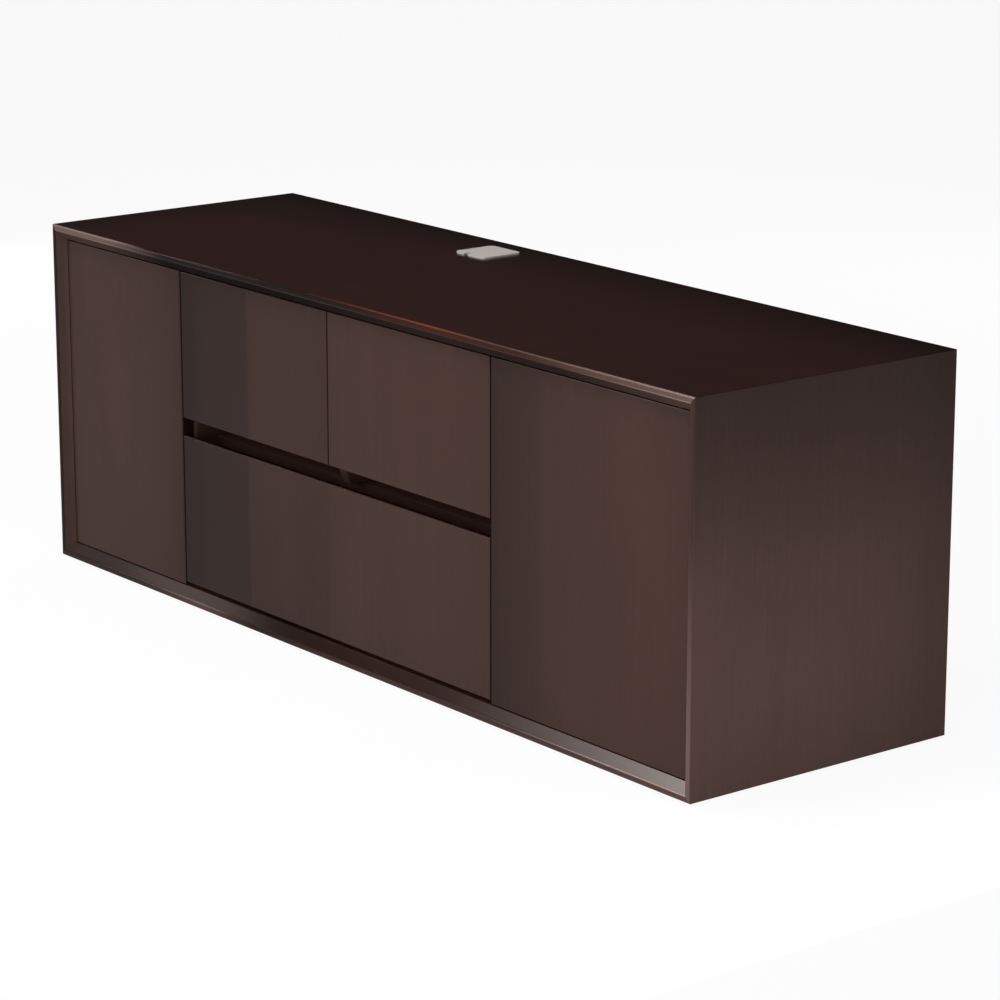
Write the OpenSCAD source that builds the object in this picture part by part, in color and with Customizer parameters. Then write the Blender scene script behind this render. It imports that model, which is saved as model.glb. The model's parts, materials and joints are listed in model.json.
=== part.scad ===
// Low executive side desk: a mitred frame with chamfered front edges, two cupboard doors on
// hidden pivots, two upper drawers, one wide lower drawer and a cable grommet in the top.
// Millimetres, +Z up, +X to the right along the front. The front faces -Y.
// The origin is on the floor, under the middle of the cabinet.

/* [Cabinet] */
// Width across the side panels
body_w = 1700; // [1500:10:1900]
// Depth from the frame's front edge to its rear edge
body_d = 510; // [490:5:600]
// Height from the floor to the top face
body_h = 600; // [590:5:680]
// Thickness of the top, bottom and side panels
panel_t = 25; // [22:1:30]
// Width of the narrow front edge that the chamfer leaves
edge_t = 10; // [7:1:14]
// Depth of the chamfer, which is how far the fronts stand behind the frame's edge
recess = 15; // [10:1:20]
// Height of the glides under the cabinet
glide_h = 4; // [3:1:8]
// Radius of a glide's pad
glide_r = 14; // [10:1:20]
// Radius of a glide's stem
glide_stem_r = 4; // [3:0.5:5]
// Length of a glide's stem
glide_stem = 12; // [8:1:16]
// Distance from a glide's centre to the outside of the cabinet
glide_inset = 55; // [40:5:80]

/* [Partitions and back] */
// Distance from the cabinet's left side to the left partition's centre line
left_column_w = 380; // [340:5:400]
// Distance between the centre lines of the two tall partitions
drawer_bay_w = 840; // [780:10:860]
// Thickness of the partitions and of the fixed centre shelf
partition_t = 18; // [16:1:22]
// Thickness of the back panel
back_t = 16; // [12:1:19]
// Distance from the back panel to the frame's rear edge
back_inset = 5; // [2:1:10]
// How far the centre shelf stands behind the backs of the drawer fronts
shelf_setback = 40; // [30:1:55]
// Drop from the lower front's top edge to the top of the centre shelf
shelf_drop = 5; // [3:1:10]
// How far the centre partition's front edge runs back towards its foot
partition_relief = 16; // [10:1:24]
// Width of the cable slot in the back panel
slot_w = 90; // [60:5:120]
// Height of the cable slot in the back panel
slot_h = 44; // [30:2:60]
// Distance from the top panel's underside to the cable slot's centre
slot_drop = 100; // [60:5:150]

/* [Loose shelves] */
// Thickness of a loose shelf
loose_t = 18; // [16:1:22]
// Play between a loose shelf's end and the wall beside it
loose_gap = 0.8; // [0.5:0.1:1.5]
// How far a loose shelf's front edge stands behind the door
loose_setback = 25; // [15:1:40]
// Height of a loose shelf's underside above the inside of the bottom
loose_rise = 262; // [200:1:300]
// Radius of a shelf pin
shelf_pin_r = 2.5; // [2:0.5:3]
// Length of a shelf pin on each side of the wall's face
shelf_pin_l = 9; // [7:1:11]
// Distance between the holes of a row of shelf-pin holes
hole_pitch = 32; // [25:1:40]
// Distance from a row of shelf-pin holes to the end of the shelf
hole_inset = 60; // [40:5:90]

/* [Doors and drawer fronts] */
// Thickness of the doors and of the drawer fronts
front_t = 20; // [18:1:22]
// Gap between two neighbouring fronts
front_gap = 3; // [2:0.5:4]
// Gap between the fronts and the frame
edge_gap = 2; // [1.5:0.5:3]
// Gap between the fronts' backs and the partitions
close_gap = 2; // [1.5:0.5:3]
// Gap between the lower drawer's front and the bottom panel
lower_front_gap = 7; // [3:0.5:9]
// Height of the lower drawer's front
lower_front_h = 256; // [244:2:262]
// Height of the finger gap between the upper fronts and the lower one
finger_gap = 31; // [26:1:36]
// Flat land in front of the sloping grip on an edge beside the finger gap
grip_land = 4; // [3:1:6]
// Height of the sloping grip
grip_rise = 16; // [10:1:20]
// Radius of a door bumper
bumper_r = 4; // [3:0.5:6]

/* [Door pivots] */
// Distance from a door's outer edge to its pivot
pivot_in = 26; // [24:1:32]
// Distance from a door's face to its pivot
pivot_back = 8; // [7:0.5:9]
// Radius of a pivot pin
pin_r = 3; // [2.5:0.25:3.5]
// Length of a pivot pin inside the door
pin_in_door = 12; // [10:1:18]
// Length of a pivot pin inside the frame
pin_in_frame = 10; // [8:1:14]
// Radius of the collar that keeps the door off the frame
collar_r = 5; // [4.5:0.5:6]
// Wall of the bush that the pin turns in
bush_wall = 1.4; // [1:0.1:1.6]

/* [Push latches] */
// Length of a latch's housing
latch_l = 62; // [56:1:70]
// Width and height of a latch's housing
latch_s = 14; // [12:1:16]
// Distance from a door's free edge to its latch
latch_in = 54; // [40:2:80]
// Radius of a latch's plunger
plunger_r = 4; // [3:0.5:4.5]
// How far a closed plunger stands out of its housing
plunger_out = 5; // [4:0.5:8]
// Length of the plunger inside its housing
plunger_tail = 40; // [34:1:44]
// Thickness of the plunger's cap
plunger_cap = 2; // [1.5:0.5:3]
// How far the plunger's cap stands out all round
cap_lip = 0.5; // [0.2:0.1:0.8]

/* [Drawer boxes] */
// Length of a drawer box, front to back
box_l = 400; // [360:5:410]
// Thickness of a drawer box's walls
box_t = 12; // [11:1:15]
// Thickness of a drawer's bottom
bottom_t = 6; // [4:1:8]
// Depth of the groove that holds the bottom
groove = 5; // [3:0.5:6]
// Height of the bottom above the walls' lower edges
groove_rise = 10; // [8:1:14]
// Space between the upper boxes and the top panel
upper_box_room = 52; // [30:2:90]
// Space between the lower box and the centre shelf
lower_box_room = 34; // [24:2:60]
// Space between the upper boxes and the top of the grip slope
upper_box_lift = 4; // [2:1:8]
// Space between the lower box and the inside of the bottom
lower_box_lift = 16; // [12:1:20]
// Radius of a front screw's shank
screw_r = 2; // [1.5:0.25:2.5]
// Radius of a front screw's head
screw_head_r = 4.5; // [3.5:0.25:5]
// Thickness of a front screw's head
screw_head_t = 2; // [1.5:0.25:2.5]
// Length of a front screw inside the drawer front
screw_bite = 13; // [10:1:15]
// Distance from a front screw to the inside of the box
screw_in = 45; // [30:5:60]

/* [Telescopic slides] */
// Length of a slide's members
slide_l = 400; // [360:5:410]
// Height of a slide
slide_h = 45; // [42:1:50]
// Width that a slide fills between the wall and the box
slide_w = 13; // [12.5:0.1:14]
// Thickness of the slides' steel
steel_t = 1.2; // [1:0.1:1.5]
// Height of the track that the balls run in
ball_track = 3.2; // [3:0.1:3.6]
// Length of a ball cage
cage_l = 170; // [120:5:180]
// Width of a ball cage
cage_w = 4.6; // [4:0.1:5]
// Thickness of a ball cage
cage_t = 1.4; // [1:0.1:1.6]
// Distance between two balls of a cage
ball_pitch = 30; // [20:1:40]
// Height of a slide's centre line above its box's lower edge
slide_rise = 70; // [50:1:90]

/* [Cable grommet] */
// Distance of the grommet's centre to the left of the cabinet's middle
grommet_left = 168; // [120:4:300]
// Distance from the grommet's centre to the rear edge of the top
grommet_back = 80; // [64:1:96]
// Width and depth of the grommet's flange
flange_s = 80; // [74:1:90]
// Corner radius of the flange
flange_corner = 10; // [8:1:14]
// Thickness of the flange above the top
flange_t = 2.5; // [2.2:0.1:3]
// Width and depth of the hole in the top
hole_s = 68; // [64:1:70]
// Corner radius of the hole in the top
hole_corner = 10; // [8:1:12]
// Wall of the grommet's sleeve
sleeve_wall = 2; // [1.5:0.25:3]
// How far the sleeve reaches below the top panel
sleeve_below = 3; // [1:1:6]
// Ledge that the lid rests on
ledge = 1.2; // [1:0.1:1.5]
// Thickness of the grommet's lid
lid_t = 2.2; // [2:0.1:2.6]
// Distance from the lid's rear edge to its hinge pins
lid_pin_in = 2.4; // [2.2:0.1:3]
// Radius of the lid's hinge pins
lid_pin_r = 0.6; // [0.5:0.05:0.7]
// Length of the lid's hinge pins inside the flange
lid_pin_l = 2.6; // [2:0.1:3]
// Width of the cable notch in the lid and in the flange's front
notch_w = 10; // [8:1:14]
// Depth of the cable notch in the lid
notch_d = 6; // [5:0.5:9]
// Distance from the lid's left edge to the notch's centre
notch_in = 24; // [20:1:32]

/* [Clearances] */
// Running clearance of a pin, plunger or ball, all round
run_gap = 0.05; // [0.02:0.01:0.08]
// Gap between a moving piece and what it rests against
seat_gap = 0.3; // [0.2:0.05:0.4]
// Clearance of the grommet's sleeve in its hole, and of the lid in the flange
fit_gap = 0.2; // [0.1:0.05:0.3]
// Gap between two nested slide members' webs
web_gap = 0.5; // [0.3:0.1:0.7]
// Gap between a slide member's lips and the web that they face
lip_gap = 1.6; // [1.2:0.1:2]

/* [Hidden] */
$fn = 48;
// Overlap of a cut with the face that it starts from
eps = 0.01;
// Length by which a through cut passes a face
over = 1;
half_w = body_w / 2;
half_d = body_d / 2;
frame_h = body_h - glide_h;
inner_x = half_w - panel_t;
floor_z = glide_h + panel_t;
ceil_z = body_h - panel_t;
face_y = -half_d + recess;
front_back_y = face_y + front_t;
part_y = front_back_y + close_gap;
back_y = half_d - back_inset - back_t;

// Seams between the columns of fronts, which are also the partitions' centre lines
left_seam = -half_w + left_column_w;
right_seam = left_seam + drawer_bay_w;
mid_seam = (left_seam + right_seam) / 2;

// A cupboard: its side of the middle, and its seam's distance from the middle
function side(c) = c[0];
function seam(c) = c[1];
left_cupboard = [-1, -left_seam];
right_cupboard = [1, right_seam];
cupboards = [left_cupboard, right_cupboard];

front_low = floor_z + edge_gap;
front_high = ceil_z - edge_gap;
lower_low = floor_z + lower_front_gap;
lower_high = lower_low + lower_front_h;
upper_low = lower_high + finger_gap;
shelf_top = lower_high - shelf_drop;
shelf_y = front_back_y + shelf_setback;
door_out_x = inner_x - edge_gap;

pivot_x = door_out_x - pivot_in;
pivot_y = face_y + pivot_back;
bush_r = pin_r + run_gap + bush_wall;
bush_l = pin_in_door + seat_gap;

latch_z = ceil_z - latch_s / 2;
latch_y = front_back_y + seat_gap + plunger_out;
plunger_y = front_back_y + seat_gap;
latch_bore_l = plunger_tail + seat_gap;

box_back_y = front_back_y + box_l;
slide_y = part_y;
mid_half = slide_h / 2 - steel_t - ball_track;
inner_half = mid_half - steel_t - ball_track;
mid_u = steel_t + web_gap;
lip_reach = slide_w - steel_t - lip_gap;
inner_from = mid_u + steel_t + lip_gap;
ball_r = ball_track / 2 - run_gap;
outer_track = (slide_h / 2 - steel_t) - ball_track / 2;
inner_track = mid_half - steel_t - ball_track / 2;
outer_cage_u = (mid_u + steel_t + lip_reach) / 2;
inner_cage_u = (inner_from + lip_reach) / 2;

grommet_x = -grommet_left;
grommet_y = half_d - grommet_back;
sleeve_s = hole_s - 2 * fit_gap;
sleeve_corner = hole_corner - fit_gap;
bore_s = sleeve_s - 2 * sleeve_wall;
bore_corner = sleeve_corner - sleeve_wall;
pocket_s = bore_s + 2 * ledge;
pocket_corner = bore_corner + ledge;
lid_s = pocket_s - 4 * fit_gap;
lid_corner = pocket_corner - 2 * fit_gap;
notch_x = -lid_s / 2 + notch_in;

// The lid's axis, measured from the grommet's centre, and the circle that its rear edge sweeps
lid_z = body_h + flange_t / 2;
lid_axis = lid_s / 2 - lid_pin_in;
lid_swing_r = norm([lid_pin_in, lid_t / 2]) + seat_gap;
// The pocket's half width at distance y behind its centre, where its corners may curve in
function pocket_half(y) = pocket_s / 2 - pocket_corner
    + sqrt(pocket_corner ^ 2 - max(y - pocket_s / 2 + pocket_corner, 0) ^ 2);
pin_wall = pocket_half(lid_axis);
// The lid is narrower beside its pins, so that its turning corners clear the pocket's
ear_half = pocket_half(lid_axis + lid_t / 2 + 3 * seat_gap) - fit_gap;

glide_xs = [-half_w + glide_inset, left_seam, right_seam, half_w - glide_inset];
glide_ys = [-half_d + glide_inset, half_d - glide_inset];

loose_low = floor_z + loose_rise;
loose_y = front_back_y + loose_setback;
pin_z = loose_low - shelf_pin_r;
pin_ys = [loose_y + hole_inset, back_y - loose_gap - hole_inset];

// A drawer: left wall, right wall, front's left and right, front's low and high edge,
// box's low edge, box's height
function left_wall(d) = d[0];
function right_wall(d) = d[1];
function front_left(d) = d[2];
function front_right(d) = d[3];
function front_z0(d) = d[4];
function front_z1(d) = d[5];
function box_z(d) = d[6];
function box_h(d) = d[7];
function box_left(d) = left_wall(d) + slide_w;
function box_right(d) = right_wall(d) - slide_w;
function slide_z(d) = box_z(d) + slide_rise;

upper_box_z = upper_low + grip_rise + upper_box_lift;
upper_box_h = ceil_z - upper_box_room - upper_box_z;
lower_box_z = floor_z + lower_box_lift;
lower_box_h = shelf_top - partition_t - lower_box_room - lower_box_z;
upper_left = [left_seam + partition_t / 2, mid_seam - partition_t / 2,
    left_seam + front_gap / 2, mid_seam - front_gap / 2,
    upper_low, front_high, upper_box_z, upper_box_h];
upper_right = [mid_seam + partition_t / 2, right_seam - partition_t / 2,
    mid_seam + front_gap / 2, right_seam - front_gap / 2,
    upper_low, front_high, upper_box_z, upper_box_h];
lower = [left_seam + partition_t / 2, right_seam - partition_t / 2,
    left_seam + front_gap / 2, right_seam - front_gap / 2,
    lower_low, lower_high, lower_box_z, lower_box_h];

veneer = [0.24, 0.17, 0.15];
veneer_dark = [0.15, 0.10, 0.095];
birch = [0.78, 0.66, 0.48];
zinc = [0.70, 0.71, 0.73];
brass = [0.75, 0.60, 0.30];
grey_plastic = [0.72, 0.70, 0.69];
black_plastic = [0.10, 0.10, 0.11];

// A block between two corners
module block(low, high) {
    translate(low) cube(high - low);
}

// A flat outline in the YZ plane, drawn out along X from x0 to x1
module along_x(x0, x1) {
    translate([x0, 0, 0]) rotate([90, 0, 90]) linear_extrude(x1 - x0) children();
}

// A flat outline in the XZ plane, drawn out along Y from y0 to y1
module along_y(y0, y1) {
    translate([0, y1, 0]) rotate([90, 0, 0]) linear_extrude(y1 - y0) children();
}

// A square with round corners, centred
module soft_square(w, d, r) {
    square([w - 2 * r, d], center = true);
    square([w, d - 2 * r], center = true);
    for (x = [-1, 1], y = [-1, 1])
        translate([x * (w / 2 - r), y * (d / 2 - r)]) circle(r);
}

// A slot with round ends, centred
module slot_outline(w, h) {
    square([w - h, h], center = true);
    for (x = [-1, 1]) translate([x * (w - h) / 2, 0]) circle(h / 2);
}

// What the right cupboard's module draws, put on the side of cupboard c
module on_side(c) {
    if (side(c) > 0) children();
    else mirror([1, 0, 0]) children();
}

// A frame board, outer face at z = 0 and body below it, mitred at both ends,
// with its inner front arris chamfered
module frame_board(length) {
    intersection() {
        along_x(-length / 2, length / 2)
            polygon([[-half_d, 0], [half_d, 0], [half_d, -panel_t],
                [-half_d + recess, -panel_t], [-half_d, -edge_t]]);
        along_y(-half_d - over, half_d + over)
            polygon([[-length / 2, 0], [length / 2, 0],
                [length / 2 - panel_t, -panel_t], [-length / 2 + panel_t, -panel_t]]);
    }
}

// A row of shelf-pin holes on each pin line, drilled from face x into the wall beside it
module shelf_pin_holes(x, side) {
    for (y = pin_ys, k = [-1:1])
        translate([x, y, pin_z + k * hole_pitch])
            rotate([0, 90 * side, 0])
                translate([0, 0, -eps])
                    cylinder(r = shelf_pin_r + run_gap, h = shelf_pin_l + seat_gap);
}

module top_panel() {
    color(veneer_dark) difference() {
        translate([0, 0, body_h]) frame_board(body_w);
        translate([grommet_x, grommet_y, ceil_z - over])
            linear_extrude(panel_t + 2 * over) soft_square(hole_s, hole_s, hole_corner);
        for (side = [-1, 1])
            translate([side * pivot_x, pivot_y, ceil_z - eps])
                cylinder(r = pin_r, h = pin_in_frame + eps);
    }
}

module bottom_panel() {
    color(veneer) difference() {
        translate([0, 0, glide_h]) mirror([0, 0, 1]) frame_board(body_w);
        for (side = [-1, 1])
            translate([side * pivot_x, pivot_y, floor_z - pin_in_frame])
                cylinder(r = pin_r, h = pin_in_frame + eps);
        for (x = glide_xs, y = glide_ys)
            translate([x, y, glide_h - eps]) cylinder(r = glide_stem_r, h = glide_stem + eps);
    }
}

module right_side() {
    color(veneer) difference() {
        translate([half_w, 0, glide_h + frame_h / 2]) rotate([0, 90, 0]) frame_board(frame_h);
        shelf_pin_holes(inner_x, 1);
    }
}

module left_side() {
    color(veneer) mirror([1, 0, 0]) right_side();
}

module back_panel() {
    color(veneer) difference() {
        block([-inner_x, back_y, floor_z], [inner_x, back_y + back_t, ceil_z]);
        translate([grommet_x, 0, ceil_z - slot_drop])
            along_y(back_y - over, back_y + back_t + over) slot_outline(slot_w, slot_h);
    }
}

// The tall partition between cupboard c and the drawers
module partition(c) {
    color(veneer) on_side(c) difference() {
        block([seam(c) - partition_t / 2, part_y, floor_z], [seam(c) + partition_t / 2, back_y, ceil_z]);
        shelf_pin_holes(seam(c) + partition_t / 2, -1);
    }
}

module centre_partition() {
    color(veneer) along_x(mid_seam - partition_t / 2, mid_seam + partition_t / 2)
        polygon([[part_y, ceil_z], [part_y, upper_low], [part_y + partition_relief, shelf_top],
            [back_y, shelf_top], [back_y, ceil_z]]);
}

module centre_shelf() {
    color(veneer) block([left_seam + partition_t / 2, shelf_y, shelf_top - partition_t],
        [right_seam - partition_t / 2, back_y, shelf_top]);
}

module loose_shelf(c) {
    color(veneer) on_side(c) block([seam(c) + partition_t / 2 + loose_gap, loose_y, loose_low],
        [inner_x - loose_gap, back_y - loose_gap, loose_low + loose_t]);
}

module shelf_pins() {
    color(zinc) for (c = cupboards, x = [seam(c) + partition_t / 2, inner_x], y = pin_ys)
        translate([side(c) * x - shelf_pin_l, y, pin_z])
            rotate([0, 90, 0]) cylinder(r = shelf_pin_r, h = 2 * shelf_pin_l);
}

module glides() {
    color(black_plastic) for (x = glide_xs, y = glide_ys) translate([x, y, 0]) {
        cylinder(r = glide_r, h = glide_h);
        cylinder(r = glide_stem_r, h = glide_h + glide_stem);
    }
}

// One pivot pin standing up from z = 0, the frame's face, with its collar
module pivot_pin() {
    translate([0, 0, -pin_in_frame]) cylinder(r = pin_r, h = pin_in_frame + edge_gap + pin_in_door);
    cylinder(r = collar_r, h = edge_gap - seat_gap);
}

module door_pivot_pins() {
    color(zinc) for (side = [-1, 1]) {
        translate([side * pivot_x, pivot_y, floor_z]) pivot_pin();
        translate([side * pivot_x, pivot_y, ceil_z]) mirror([0, 0, 1]) pivot_pin();
    }
}

module door_bumpers() {
    color(grey_plastic) for (c = cupboards, z = [front_low + pivot_in, front_high - pivot_in])
        translate([side(c) * (seam(c) + front_gap / 2 + bumper_r), part_y, z])
            rotate([90, 0, 0]) cylinder(r = bumper_r, h = close_gap - seat_gap);
}

module door(c) {
    color(veneer) on_side(c) difference() {
        block([seam(c) + front_gap / 2, face_y, front_low], [door_out_x, front_back_y, front_high]);
        translate([pivot_x, pivot_y, front_low - eps]) cylinder(r = bush_r, h = bush_l + eps);
        translate([pivot_x, pivot_y, front_high - bush_l]) cylinder(r = bush_r, h = bush_l + eps);
    }
}

module door_bushes(c) {
    color(brass) on_side(c) translate([pivot_x, pivot_y, 0])
        for (z = [front_low, front_high - bush_l]) translate([0, 0, z]) difference() {
            cylinder(r = bush_r, h = bush_l);
            translate([0, 0, -over]) cylinder(r = pin_r + run_gap, h = bush_l + 2 * over);
        }
}

module latch_housing(c) {
    x = seam(c) + front_gap / 2 + latch_in;
    color(grey_plastic) on_side(c) difference() {
        block([x - latch_s / 2, latch_y, ceil_z - latch_s], [x + latch_s / 2, latch_y + latch_l, ceil_z]);
        translate([x, latch_y - eps, latch_z]) rotate([-90, 0, 0])
            cylinder(r = plunger_r + run_gap, h = latch_bore_l + eps);
    }
}

module latch_plunger(c) {
    x = seam(c) + front_gap / 2 + latch_in;
    color(black_plastic) on_side(c) translate([x, plunger_y, latch_z]) rotate([-90, 0, 0]) {
        cylinder(r = plunger_r, h = plunger_out + plunger_tail);
        cylinder(r = plunger_r + cap_lip, h = plunger_cap);
    }
}

// A place for each screw of drawer d, at the back of its front
module at_screws(d) {
    for (x = [box_left(d) + box_t + screw_in, box_right(d) - box_t - screw_in],
         z = [box_z(d) + screw_in, box_z(d) + box_h(d) - screw_in])
        translate([x, front_back_y, z]) rotate([90, 0, 0]) children();
}

// The veneered front of drawer d. Its edge beside the finger gap slopes back to make a grip.
module drawer_front(d, grip_below) {
    z0 = front_z0(d);
    z1 = front_z1(d);
    slope_y = face_y + grip_land;
    color(veneer) difference() {
        along_x(front_left(d), front_right(d))
            polygon(grip_below
                ? [[face_y, z0], [slope_y, z0], [front_back_y, z0 + grip_rise],
                    [front_back_y, z1], [face_y, z1]]
                : [[face_y, z0], [front_back_y, z0], [front_back_y, z1 - grip_rise],
                    [slope_y, z1], [face_y, z1]]);
        at_screws(d) translate([0, 0, -eps]) cylinder(r = screw_r, h = screw_bite + eps);
    }
}

module drawer_screws(d) {
    color(zinc) at_screws(d) {
        translate([0, 0, -box_t]) cylinder(r = screw_r, h = box_t + screw_bite);
        translate([0, 0, -box_t - screw_head_t]) cylinder(r = screw_head_r, h = screw_head_t);
    }
}

// The bottom of drawer d, which reaches into the grooves of all four walls
module drawer_bottom(d) {
    z = box_z(d) + groove_rise;
    color(birch) block([box_left(d) + box_t - groove, front_back_y + box_t - groove, z],
        [box_right(d) - box_t + groove, box_back_y - box_t + groove, z + bottom_t]);
}

module drawer_left_wall(d) {
    color(birch) difference() {
        block([box_left(d), front_back_y, box_z(d)],
            [box_left(d) + box_t, box_back_y, box_z(d) + box_h(d)]);
        drawer_bottom(d);
    }
}

module drawer_right_wall(d) {
    color(birch) difference() {
        block([box_right(d) - box_t, front_back_y, box_z(d)],
            [box_right(d), box_back_y, box_z(d) + box_h(d)]);
        drawer_bottom(d);
    }
}

module drawer_box_front(d) {
    color(birch) difference() {
        block([box_left(d) + box_t, front_back_y, box_z(d)],
            [box_right(d) - box_t, front_back_y + box_t, box_z(d) + box_h(d)]);
        drawer_bottom(d);
        at_screws(d) translate([0, 0, -box_t - over]) cylinder(r = screw_r, h = box_t + 2 * over);
    }
}

module drawer_box_back(d) {
    color(birch) difference() {
        block([box_left(d) + box_t, box_back_y - box_t, box_z(d)],
            [box_right(d) - box_t, box_back_y, box_z(d) + box_h(d)]);
        drawer_bottom(d);
    }
}

// Places for the two slides of drawer d. In each, X runs from the wall towards the box
// and Z is measured from the slide's centre line.
module at_slides(d) {
    translate([left_wall(d), 0, slide_z(d)]) children();
    translate([right_wall(d), 0, slide_z(d)]) mirror([1, 0, 0]) children();
}

// A channel of steel with its web from x = web to web + steel_t and flanges from x = low to high
module channel(web, low, high, half) {
    along_y(slide_y, slide_y + slide_l) {
        translate([web, -half]) square([steel_t, 2 * half]);
        for (z = [-half, half - steel_t])
            translate([low, z]) square([high - low, steel_t]);
    }
}

module slide_fixed_members(d) {
    color(zinc) at_slides(d) channel(0, 0, lip_reach, slide_h / 2);
}

module slide_middle_members(d) {
    color(zinc) at_slides(d) channel(mid_u, mid_u, lip_reach, mid_half);
}

module slide_drawer_members(d) {
    color(zinc) at_slides(d) channel(slide_w - steel_t, inner_from, slide_w, inner_half);
}

// A cage of balls whose centre line is at x = u, z = track, starting at y
module ball_cage(u, track, y) {
    translate([u - cage_w / 2, y, track - cage_t / 2]) cube([cage_w, cage_l, cage_t]);
    for (k = [0 : floor((cage_l - ball_pitch / 2) / ball_pitch)])
        translate([u, y + ball_pitch / 2 + k * ball_pitch, track]) sphere(ball_r);
}

module ball_cages(d) {
    color(zinc) at_slides(d) for (side = [-1, 1]) {
        ball_cage(outer_cage_u, side * outer_track, slide_y + slide_l - cage_l - ball_pitch / 3);
        ball_cage(inner_cage_u, side * inner_track, slide_y + ball_pitch / 3);
    }
}

module grommet_frame() {
    sleeve_low = ceil_z - sleeve_below;
    color(grey_plastic) translate([grommet_x, grommet_y, 0]) difference() {
        union() {
            translate([0, 0, body_h])
                linear_extrude(flange_t) soft_square(flange_s, flange_s, flange_corner);
            translate([0, 0, sleeve_low]) linear_extrude(body_h - sleeve_low + eps)
                soft_square(sleeve_s, sleeve_s, sleeve_corner);
        }
        translate([0, 0, sleeve_low - over])
            linear_extrude(body_h + flange_t - sleeve_low + 2 * over)
                soft_square(bore_s, bore_s, bore_corner);
        translate([0, 0, body_h])
            linear_extrude(flange_t + over) soft_square(pocket_s, pocket_s, pocket_corner);
        // Room for the lid's rear edge, which turns down as the lid opens
        intersection() {
            translate([0, 0, lid_z - lid_swing_r])
                linear_extrude(lid_swing_r) soft_square(pocket_s, pocket_s, pocket_corner);
            block([-pocket_s, lid_axis - lid_swing_r, lid_z - lid_swing_r], [pocket_s, pocket_s, lid_z]);
        }
        // Cable notch through the front rim
        block([notch_x - notch_w / 2, -flange_s / 2 - over, body_h],
            [notch_x + notch_w / 2, -pocket_s / 2 + over, body_h + flange_t + over]);
        for (side = [-1, 1]) translate([side * (pin_wall - over), lid_axis, lid_z])
            rotate([0, 90 * side, 0])
                cylinder(r = lid_pin_r + run_gap, h = over + lid_pin_l + seat_gap);
    }
}

module grommet_lid() {
    pin_reach = pin_wall + lid_pin_l;
    color(grey_plastic) translate([grommet_x, grommet_y, lid_z]) {
        translate([0, 0, -lid_t / 2]) linear_extrude(lid_t) difference() {
            soft_square(lid_s, lid_s, lid_corner);
            translate([notch_x, -lid_s / 2]) soft_square(notch_w, 2 * notch_d, notch_w / 2 - eps);
            for (side = [-1, 1]) translate([side * lid_s / 2, lid_s / 2])
                square([lid_s - 2 * ear_half, 2 * (lid_pin_in + lid_swing_r)], center = true);
        }
        translate([-pin_reach, lid_axis, 0])
            rotate([0, 90, 0]) cylinder(r = lid_pin_r, h = 2 * pin_reach);
    }
}

top_panel();
bottom_panel();
left_side();
right_side();
back_panel();
partition(left_cupboard);  // left_partition
partition(right_cupboard);  // right_partition
centre_partition();
centre_shelf();
loose_shelf(left_cupboard);  // left_loose_shelf
loose_shelf(right_cupboard);  // right_loose_shelf
shelf_pins();
glides();
door_pivot_pins();
door_bumpers();
door(left_cupboard);  // left_door
door(right_cupboard);  // right_door
door_bushes(left_cupboard);  // left_door_bushes
door_bushes(right_cupboard);  // right_door_bushes
latch_housing(left_cupboard);  // left_latch_housing
latch_housing(right_cupboard);  // right_latch_housing
latch_plunger(left_cupboard);  // left_latch_plunger
latch_plunger(right_cupboard);  // right_latch_plunger
drawer_front(upper_left, true);  // upper_left_front
drawer_box_front(upper_left);  // upper_left_box_front
drawer_left_wall(upper_left);  // upper_left_box_left_side
drawer_right_wall(upper_left);  // upper_left_box_right_side
drawer_box_back(upper_left);  // upper_left_box_back
drawer_bottom(upper_left);  // upper_left_box_bottom
drawer_screws(upper_left);  // upper_left_front_screws
slide_fixed_members(upper_left);  // upper_left_slide_fixed_members
slide_middle_members(upper_left);  // upper_left_slide_middle_members
slide_drawer_members(upper_left);  // upper_left_slide_drawer_members
ball_cages(upper_left);  // upper_left_ball_cages
drawer_front(upper_right, true);  // upper_right_front
drawer_box_front(upper_right);  // upper_right_box_front
drawer_left_wall(upper_right);  // upper_right_box_left_side
drawer_right_wall(upper_right);  // upper_right_box_right_side
drawer_box_back(upper_right);  // upper_right_box_back
drawer_bottom(upper_right);  // upper_right_box_bottom
drawer_screws(upper_right);  // upper_right_front_screws
slide_fixed_members(upper_right);  // upper_right_slide_fixed_members
slide_middle_members(upper_right);  // upper_right_slide_middle_members
slide_drawer_members(upper_right);  // upper_right_slide_drawer_members
ball_cages(upper_right);  // upper_right_ball_cages
drawer_front(lower, false);  // lower_front
drawer_box_front(lower);  // lower_box_front
drawer_left_wall(lower);  // lower_box_left_side
drawer_right_wall(lower);  // lower_box_right_side
drawer_box_back(lower);  // lower_box_back
drawer_bottom(lower);  // lower_box_bottom
drawer_screws(lower);  // lower_front_screws
slide_fixed_members(lower);  // lower_slide_fixed_members
slide_middle_members(lower);  // lower_slide_middle_members
slide_drawer_members(lower);  // lower_slide_drawer_members
ball_cages(lower);  // lower_ball_cages
grommet_frame();
grommet_lid();
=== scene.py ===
import json
import math

import bmesh
import bpy
import numpy as np
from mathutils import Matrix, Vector, geometry

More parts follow.
